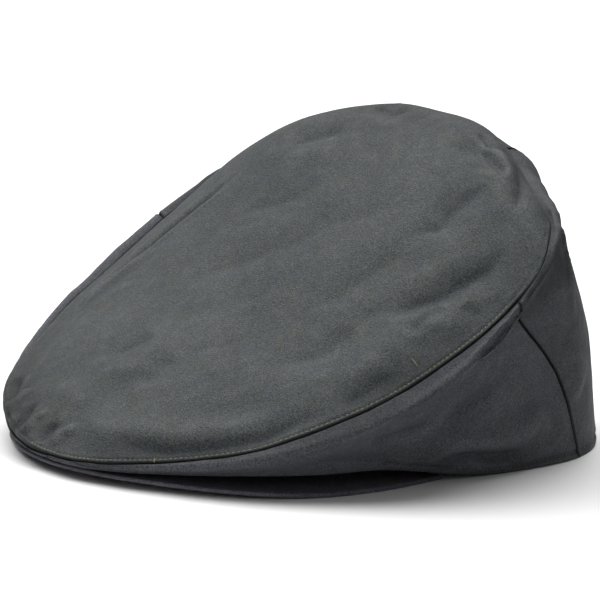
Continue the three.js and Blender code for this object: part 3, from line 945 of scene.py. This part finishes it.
def on_surface(tree, points, guides):
    """Places on a finished piece nearest to points, with the normals turned towards the guides."""
    places, normals = [], []
    for point, guide in zip(points, guides):
        lifted = (point + guide * CAST_FROM + ORIGIN_SHIFT) * MM
        hit, normal, _, _ = tree.ray_cast(Vector(lifted), Vector(-guide), CAST_LIMIT)
        if hit is None:
            hit, normal, _, _ = tree.find_nearest(Vector(lifted))
        places.append(np.array(hit) / MM - ORIGIN_SHIFT)
        normals.append(np.array(normal))
    return np.array(places), np.array(normals)


def row_of_stitches(name, tree, line, guides, pitch, length, width):
    arc = arc_lengths(line)
    wanted = np.arange(pitch / 2, arc[-1], pitch)
    guide = unit(read_along(wanted, arc, guides))
    ahead = read_along(wanted + STITCH_AIM, arc, line)
    behind = read_along(wanted - STITCH_AIM, arc, line)
    places, normals = on_surface(tree, read_along(wanted, arc, line), guide)
    return stitch_mesh(name, places, normals, unit(ahead - behind), length, width)


# Materials
MIX_SOCKETS = (0, 6, 7)
MIX_RESULT = 2


class Nodes:
    def __init__(self, name):
        self.material = bpy.data.materials.new(name)
        self.material.use_nodes = True
        self.tree = self.material.node_tree
        self.tree.nodes.clear()
        self.output = self.add("ShaderNodeOutputMaterial")
        self.shader = self.add("ShaderNodeBsdfPrincipled")
        self.link(self.shader.outputs[0], self.output.inputs["Surface"])

    def add(self, kind, inputs=None, **settings):
        node = self.tree.nodes.new(kind)
        for key, value in settings.items():
            setattr(node, key, value)
        for key, value in (inputs or {}).items():
            self.put(value, node.inputs[key])
        return node

    def link(self, source, target):
        self.tree.links.new(source, target)

    def put(self, value, socket):
        """A number or a colour goes on the socket itself, and anything else is linked to it."""
        if isinstance(value, tuple):
            socket.default_value = (*value, 1)
        elif isinstance(value, (int, float)):
            socket.default_value = value
        else:
            self.link(value, socket)

    def shade(self, name, value):
        self.put(value, self.shader.inputs[name])

    def place(self):
        return self.add("ShaderNodeTexCoord").outputs["Object"]

    def attribute(self, name):
        node = self.add("ShaderNodeAttribute", attribute_name=name, attribute_type="GEOMETRY")
        return node.outputs["Fac"]

    def noise(self, coords, scale, detail=2.0, roughness=0.5):
        inputs = {"Vector": coords, "Scale": scale, "Detail": detail, "Roughness": roughness}
        return self.add("ShaderNodeTexNoise", inputs).outputs["Fac"]

    def spread(self, value, low, high, to_low=0, to_high=1):
        inputs = {"Value": value, "From Min": low, "From Max": high, "To Min": to_low, "To Max": to_high}
        return self.add("ShaderNodeMapRange", inputs).outputs[0]

    def mix(self, factor, a, b, kind="MIX"):
        inputs = dict(zip(MIX_SOCKETS, (factor, a, b)))
        return self.add("ShaderNodeMix", inputs, data_type="RGBA", blend_type=kind).outputs[MIX_RESULT]

    def math(self, kind, a, b):
        return self.add("ShaderNodeMath", {0: a, 1: b}, operation=kind).outputs[0]

    def bump(self, height, distance, strength, normal=None):
        inputs = {"Height": height, "Distance": distance, "Strength": strength}
        if normal is not None:
            inputs["Normal"] = normal
        return self.add("ShaderNodeBump", inputs).outputs[0]


# Colour of single threads' specks, cool and warm, and the near-black of the painted shade
COOL_SPECK = (0.93, 1.0, 1.1)
WARM_SPECK = (1.08, 1.02, 0.86)
PAINTED_SHADE_COLOUR = (0.004, 0.004, 0.004)
FIBRE = (0.16, 0.16, 0.12)
# Noise of the cloth: scale, detail and roughness
CLOTH_NOISE = {
    "cloud": (28, 3),
    "mottle": (160, 3, 0.6),
    "grain": (1500, 2, 0.7),
    "warm": (75, 4, 0.6),
    "hue": (1700, 1),
    "clumps": (520, 2),
    "fibre": (2200, 0),
}
# What noise, relief and the painted shade in the seam attribute give to the colour and the gloss:
# from this range, to that one
CLOTH_RANGES = {
    "cloud": (0.35, 0.65),
    "warm": (0.45, 0.75, 0, 0.5),
    "mottle": (0.55, 0.8, 0, 0.35),
    "worn": (0.05, 0.5, 0, 0.8),
    "dark": (-0.05, -0.6, 0, 0.8),
    "hue": (0.35, 0.65),
    "grain": (0.32, 0.68, 0.45, 1.55),
    "clumps": (0.35, 0.65, 0.93, 1.07),
    "fibre": (0.66, 0.78, 0, 0.45),
    "seam": (0, 1, 0, 0.95),
    "gloss": (0.3, 0.7, 0.67, 0.53),
}
WEAVE = {"Scale": 330, "Distortion": 0.6, "Detail Scale": 2.0}
# Distance in metres and strength of each bump
CLOTH_BUMPS = {"weave": (0.00005, 0.3), "grain": (0.0005, 0.8), "mottle": (0.0005, 0.2)}
CLOTH_FINISH = {"Specular IOR Level": 0.14, "Sheen Weight": 0.01, "Sheen Roughness": 0.4}


def waxed_cloth(name, base, worn, dark, warm):
    n = Nodes(name)
    place = n.place()
    uv = n.add("ShaderNodeUVMap", uv_map="cloth").outputs[0]
    source = {key: n.noise(place, *numbers) for key, numbers in CLOTH_NOISE.items()}
    # The relief lightens worn ridges and darkens creases with painted shade
    source["worn"] = source["dark"] = n.attribute("relief")
    source["seam"] = n.attribute("seam")
    source["gloss"] = source["mottle"]
    share = {key: n.spread(source[key], *numbers) for key, numbers in CLOTH_RANGES.items()}
    colour = n.mix(share["cloud"], dark, base)
    for key, towards in (("warm", warm), ("mottle", worn), ("worn", worn), ("dark", dark)):
        colour = n.mix(share[key], colour, towards)
    hue = n.mix(share["hue"], COOL_SPECK, WARM_SPECK)
    speck = n.math("MULTIPLY", share["grain"], share["clumps"])
    tint = n.add("ShaderNodeVectorMath", {0: hue, "Scale": speck}, operation="SCALE")
    colour = n.mix(1.0, colour, tint.outputs[0], "MULTIPLY")
    colour = n.mix(share["fibre"], colour, FIBRE)
    # The seam attribute mixes painted shade into the colour
    n.shade("Base Color", n.mix(share["seam"], colour, PAINTED_SHADE_COLOUR))
    n.shade("Roughness", share["gloss"])
    wave = {"Vector": uv, **WEAVE}
    threads = [n.add("ShaderNodeTexWave", wave, bands_direction=k).outputs["Fac"] for k in "XY"]
    source["weave"] = n.math("ADD", *threads)
    normal = None
    for key, numbers in CLOTH_BUMPS.items():
        normal = n.bump(source[key], *numbers, normal)
    n.shade("Normal", normal)
    for key, number in CLOTH_FINISH.items():
        n.shade(key, number)
    return n.material


def thread_material(name, colour, tip):
    n = Nodes(name)
    twist = n.noise(n.place(), scale=900)
    n.shade("Base Color", n.mix(n.spread(twist, low=0.35, high=0.65), colour, tip))
    n.shade("Normal", n.bump(twist, distance=0.0001, strength=0.6))
    n.shade("Roughness", 0.7)
    return n.material


def paper(name, scale, low, high, roughness):
    n = Nodes(name)
    n.shade("Base Color", n.mix(n.noise(n.place(), scale), (low,) * 3, (high,) * 3))
    n.shade("Roughness", roughness)
    return n.material


# The cap
TOP = top_grid()
LEFT_SEAM = (SEAM_AT_RIM, SEAM_AT_HEM)
RIGHT_SEAM = (-SEAM_AT_RIM, -SEAM_AT_HEM)
# Columns, rows and mean width of a wall panel
SIDE_GRID = (200, 78, 220)
BACK_GRID = (160, 84, 130)
PANELS = {
    "left_side_panel": ("side_left", wall_grid((0, 0), LEFT_SEAM, *SIDE_GRID)),
    "right_side_panel": ("side_right", wall_grid(RIGHT_SEAM, (0, 0), *SIDE_GRID)),
    "left_back_panel": ("back_left", wall_grid(LEFT_SEAM, (180, 180), *BACK_GRID)),
    "right_back_panel": ("back_right", wall_grid((-180, -180), RIGHT_SEAM, *BACK_GRID)),
}
closed_top = np.concatenate([TOP[1], TOP[1][:, :1]], axis=1)
base_tree = surface_tree([closed_top] + [part["grid"] for _, part in PANELS.values()])
FOLDS = Folds(base_tree)

# Colours of each panel's copy of the one cloth: plain, worn, dark and warm. The copies are painted for how
# light falls: the sides lighter and bluer as painted reflection, the back darker as painted shade, and the
# peak lighter than its near-black cloth as painted light
PANEL_COLOURS_LIT_AND_SHADED = {
    "top": ((0.051, 0.057, 0.062), (0.075, 0.081, 0.084), (0.037, 0.043, 0.049), (0.056, 0.058, 0.05)),
    "side": ((0.056, 0.059, 0.071), (0.074, 0.078, 0.091), (0.043, 0.046, 0.058), (0.06, 0.06, 0.065)),
    "back": ((0.044, 0.047, 0.057), (0.06, 0.064, 0.074), (0.035, 0.038, 0.048), (0.048, 0.048, 0.053)),
    "peak": ((0.11, 0.103, 0.13), (0.14, 0.138, 0.155), (0.083, 0.078, 0.1), (0.11, 0.102, 0.115)),
}
CLOTHS = {key: waxed_cloth(f"waxed_cloth_{key}", *colours) for key, colours in PANEL_COLOURS_LIT_AND_SHADED.items()}
OLIVE_THREAD = thread_material("olive_thread", (0.13, 0.12, 0.05), (0.22, 0.2, 0.1))
DARK_THREAD = thread_material("khaki_thread", (0.06, 0.055, 0.03), (0.14, 0.125, 0.07))

top_panel = build_top(FOLDS)
top_panel.data.materials.append(CLOTHS["top"])
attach(top_panel, "root")
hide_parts("crown_top")

walls = {}
for piece_name, (node, part) in PANELS.items():
    piece = build_wall(piece_name, part, FOLDS)
    piece.data.materials.append(CLOTHS[node.split("_")[0]])
    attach(piece, "root")
    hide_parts(node)
    walls[piece_name] = piece

peak_board = build_peak()
peak_board.data.materials.append(CLOTHS["peak"])
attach(peak_board, "root")
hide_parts("peak")

# Pitch, length and width of the stitches, and length, width and lift of the loose threads
RIM_STITCH = (2.0, 1.3, 0.48)
HEM_STITCH = (2.6, 1.5, 0.4)
LOOSE_STITCH = (4.4, 0.42, 0.2)
STITCH_MARGIN = 6
STITCHED_BELOW = 2.5

headings, grid, normals, closest = TOP[:4]
wrapped = wrap(headings)
row = int(np.argmin(np.abs(closest.mean(axis=1) - STITCH_LINE)))
top_tree = object_tree(top_panel)
STITCH_RUNS = {
    "right_rim_stitches": (-TOPSTITCH_END, HIDDEN_STITCHES[0]),
    "left_rim_stitches": (HIDDEN_STITCHES[1], TOPSTITCH_END),
}
for run, (first, last) in STITCH_RUNS.items():
    chosen = np.flatnonzero((wrapped > first) & (wrapped < last))
    chosen = chosen[np.argsort(wrapped[chosen])]
    stitches = row_of_stitches(run, top_tree, grid[row, chosen], normals[row, chosen], *RIM_STITCH)
    stitches.data.materials.append(OLIVE_THREAD)
    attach(stitches, "root")

for piece_name, piece in walls.items():
    part = PANELS[piece_name][1]
    below = part["normals"][..., 2] < UNDERSIDE
    level = np.argmin(np.where(below, np.inf, np.abs(part["from_foot"] - HEM["stitches"])), axis=0)
    columns = np.arange(len(level))
    line = part["grid"][level, columns]
    guide = part["normals"][level, columns]
    seen = part["grid"][-EDGE_ROWS - 1, :, 2] < STITCHED_BELOW
    seen &= (columns > STITCH_MARGIN) & (columns < columns[-1] - STITCH_MARGIN)
    run = f"{piece_name}_hem_stitches"
    stitches = row_of_stitches(run, object_tree(piece), line[seen], guide[seen], *HEM_STITCH)
    stitches.data.materials.append(DARK_THREAD)
    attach(stitches, "root")

# Two loose bits of thread: one hangs from the rim's stitches, the other lies on the top
LOOSE_THREADS = [(154, 460), (415, 364)]
loose_places, loose_guides = cast(base_tree, LOOSE_THREADS)
loose_places, loose_normals = on_surface(top_tree, loose_places, loose_guides)
hanging = np.array([-CAMERA_UP + 0.15 * CAMERA_RIGHT, CAMERA_UP - 0.5 * CAMERA_RIGHT])
loose_threads = stitch_mesh("loose_threads", loose_places, loose_normals, hanging, *LOOSE_STITCH)
loose_threads.data.materials.append(OLIVE_THREAD)
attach(loose_threads, "root")

# Floor, light and camera
FLOOR_HALF = 6
LIGHT_ENERGY = 4.2
LIGHT_WIDTH = 75
LIGHT_DIRECTION = (0.38, -0.05, -1)
WORLD_STRENGTH = 0.45


def flat_sheet(name, corners, material):
    mesh = bpy.data.meshes.new(name)
    mesh.from_pydata([tuple(corner) for corner in corners], [], [(0, 1, 2, 3)])
    mesh.materials.append(material)
    return linked(name, mesh)


floor_corners = [(x * FLOOR_HALF, y * FLOOR_HALF, 0) for x, y in ((-1, -1), (1, -1), (1, 1), (-1, 1))]
floor_paper = paper("floor_paper", scale=3, low=0.79, high=0.81, roughness=0.9)
floor = flat_sheet("floor", floor_corners, floor_paper)

# Dark boards on either side, out of the picture, keep the light off the cap's ends
BOARD_DISTANCE = 0.27
BOARDS = {
    "board_left": {"side": -1, "far_end": -0.03, "near_end": 0.34, "height": 0.28},
    "board_right": {"side": 1, "far_end": -0.34, "near_end": 0.34, "height": 0.3},
}
board_paper = paper("black_board", scale=5, low=0.01, high=0.02, roughness=0.5)
across = Vector((CAMERA_RIGHT[0], CAMERA_RIGHT[1], 0)).normalized()
towards = Vector((across.y, -across.x, 0))
boards = []
for name, size in BOARDS.items():
    middle = across * size["side"] * BOARD_DISTANCE
    ends = [middle + towards * size[end] for end in ("far_end", "near_end")]
    rise = Vector((0, 0, size["height"]))
    board = flat_sheet(name, [ends[0], ends[1], ends[1] + rise, ends[0] + rise], board_paper)
    board.visible_camera = False
    boards.append(board)


def left_out(name, objects):
    """A collection for light linking that leaves these objects out."""
    links = bpy.data.collections.new(name)
    for obj in objects:
        links.objects.link(obj)
    for entry in links.collection_objects:
        entry.light_linking.link_state = "EXCLUDE"
    return links


# One soft light from above for everything but the floor, and the same again for the floor alone, where the
# boards leave no shadow
overhead = bpy.data.lights.new("overhead", "SUN")
overhead.energy = LIGHT_ENERGY
overhead.angle = math.radians(LIGHT_WIDTH)
lamps = {}
for name in ("overhead", "overhead_floor"):
    lamps[name] = linked(name, overhead)
    lamps[name].rotation_euler = Vector(LIGHT_DIRECTION).to_track_quat("-Z", "Y").to_euler()
lamps["overhead"].light_linking.receiver_collection = left_out("lit_but_floor", [floor])
floor_only = bpy.data.collections.new("lit_floor")
floor_only.objects.link(floor)
lamps["overhead_floor"].light_linking.receiver_collection = floor_only
lamps["overhead_floor"].light_linking.blocker_collection = left_out("blocks_but_boards", boards)

world = bpy.data.worlds.new("studio")
bpy.context.scene.world = world
world.use_nodes = True
background = world.node_tree.nodes["Background"]
background.inputs["Color"].default_value = (1, 1, 1, 1)
background.inputs["Strength"].default_value = WORLD_STRENGTH

bpy.context.scene.view_settings.view_transform = "Standard"

camera_data = bpy.data.cameras.new("camera")
camera_data.sensor_width = SENSOR
camera_data.lens = FOCAL_PIXELS * SENSOR / IMAGE_SIZE
camera_data.clip_end = CLIP_END
camera = linked("camera", camera_data)
turn = Matrix([CAMERA_RIGHT, CAMERA_UP, CAMERA_BACK]).transposed()
camera.matrix_world = Matrix.Translation(Vector((CAMERA_PLACE + ORIGIN_SHIFT) * MM)) @ turn.to_4x4()
bpy.context.scene.camera = camera
